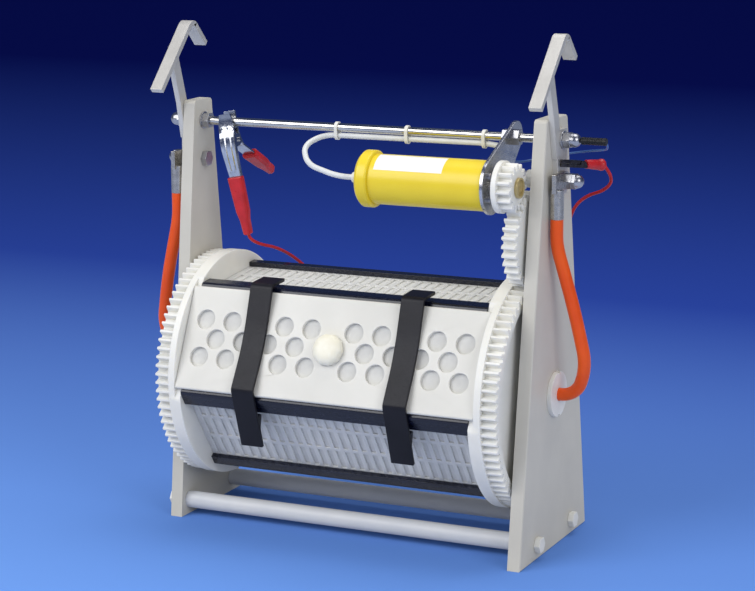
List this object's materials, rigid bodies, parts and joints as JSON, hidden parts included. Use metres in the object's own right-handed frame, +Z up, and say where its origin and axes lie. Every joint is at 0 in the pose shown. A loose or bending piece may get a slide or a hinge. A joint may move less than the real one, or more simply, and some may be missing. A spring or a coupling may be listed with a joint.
{
  "type": "plating barrel unit",
  "caption": "Perforated six-sided drum geared to a small motor between two side plates, hung by strip-metal V hooks, with current cables to its hubs.",
  "frame": {"origin": "on the ground, midway between the two side plates, below the drum axis", "axes": "+X along the drum axis towards the geared, motor side; +Y from front to back; +Z up"},
  "size_m": [0.4467, 0.2378, 0.4627],
  "materials": {
    "plate": "satin moulded sheet",
    "steel": "polished",
    "hook_steel": "satin",
    "fastener": "polished",
    "white_plastic": "moulded",
    "spacer_plastic": "turned",
    "lug_metal": "tinned",
    "cable_orange": "soft",
    "natural_plastic": "machined",
    "rail_plastic": "smooth",
    "clip_plastic": "smooth",
    "cream_plastic": "moulded",
    "motor_yellow": "gloss paint",
    "lead_white": "smooth",
    "wire_blue": "smooth",
    "plug_black": "ribbed",
    "clamp_metal": "pressed",
    "red_plastic": "dipped",
    "wire_red": "smooth"
  },
  "bodies": {
    "frame": {"blue_wire": "wire_blue", "bolt_sleeve": "white_plastic", "cable_left": "cable_orange", "cable_lugs": "lug_metal", "cable_right": "cable_orange", "cable_ties": "white_plastic", "cap_nuts": "fastener", "clamp_jaw_front": "clamp_metal", "clamp_pin": "steel", "clamp_sleeve_front": "red_plastic", "clamp_spring": "steel", "croc_body": "clamp_metal", "croc_boot": "red_plastic", "danglers": "steel", "hook_left": "hook_steel", "hook_right": "hook_steel", "hub_bushes": "white_plastic", "idler_axle": "steel", "left_plate": "plate", "lug_bolts": "fastener", "lug_nuts": "fastener", "motor_bracket": "steel", "motor_cable": "lead_white", "motor_end_cap": "motor_yellow", "motor_gland": "white_plastic", "motor_screws": "steel", "motor_tube": "motor_yellow", "red_wire": "wire_red", "right_plate": "plate", "rod_nuts": "fastener", "spacer_rods": "spacer_plastic", "spacer_screws": "white_plastic", "thrust_washers": "white_plastic", "top_rod": "steel", "wire_plug": "plug_black"},
    "drum": {"end_gear_left": "natural_plastic", "end_gear_right": "natural_plastic", "panel_ab": "natural_plastic", "panel_cd": "natural_plastic", "panel_df": "natural_plastic", "panel_ea": "natural_plastic", "panel_fe": "natural_plastic", "rail_a": "rail_plastic", "rail_b": "rail_plastic", "rail_c": "rail_plastic", "rail_d": "rail_plastic", "rail_e": "rail_plastic", "rail_f": "rail_plastic"},
    "lid": {"lid": "natural_plastic", "lid_knob": "cream_plastic"},
    "clip_left": {"clip_left": "clip_plastic"},
    "clip_right": {"clip_right": "clip_plastic"},
    "idler": {"idler_gear": "natural_plastic"},
    "pinion": {"pinion": "natural_plastic", "pinion_boss": "cream_plastic", "motor_shaft": "steel"},
    "clamp_jaw": {"clamp_jaw_back": "clamp_metal", "clamp_sleeve_back": "red_plastic"},
    "croc_jaw": {"croc_jaw": "clamp_metal"}
  },
  "joints": [
    {"name": "drum_spin", "type": "hinge", "parent": "frame", "child": "drum", "pos_m": [0, 0, 0.142], "axis": [1, 0, 0], "continuous": true},
    {"name": "idler_spin", "type": "hinge", "parent": "frame", "child": "idler", "pos_m": [0.16, -0.01737, 0.28344], "axis": [1, 0, 0], "continuous": true},
    {"name": "pinion_spin", "type": "hinge", "parent": "frame", "child": "pinion", "pos_m": [0.158, -0.04806, 0.33353], "axis": [1, 0, 0], "continuous": true},
    {"name": "lid_lift", "type": "slide", "parent": "drum", "child": "lid", "axis": [0, -0.9026, 0.4305], "range_m": [0, 0.06]},
    {"name": "clip_left_pull", "type": "slide", "parent": "lid", "child": "clip_left", "axis": [0, -0.9026, 0.4305], "range_m": [0, 0.04]},
    {"name": "clip_right_pull", "type": "slide", "parent": "lid", "child": "clip_right", "axis": [0, -0.9026, 0.4305], "range_m": [0, 0.04]},
    {"name": "clamp_open", "type": "hinge", "parent": "frame", "child": "clamp_jaw", "pos_m": [-0.1408, 0, 0.35279], "axis": [0.984, 0, 0.178], "range_deg": [-20, 0], "stiffness_Nm_per_rad": 0.6, "springref_deg": 20.05},
    {"name": "croc_open", "type": "hinge", "parent": "frame", "child": "croc_jaw", "pos_m": [0.2015, 0.00996, 0.35009], "axis": [-0.8731, 0.4875, 0.0003], "range_deg": [0, 20], "stiffness_Nm_per_rad": 0.05, "springref_deg": -17.19}
  ],
  "couplings": [
    {"joint": "idler_spin", "follows": "drum_spin", "ratio": -2.5625},
    {"joint": "pinion_spin", "follows": "drum_spin", "ratio": 5.4667}
  ]
}
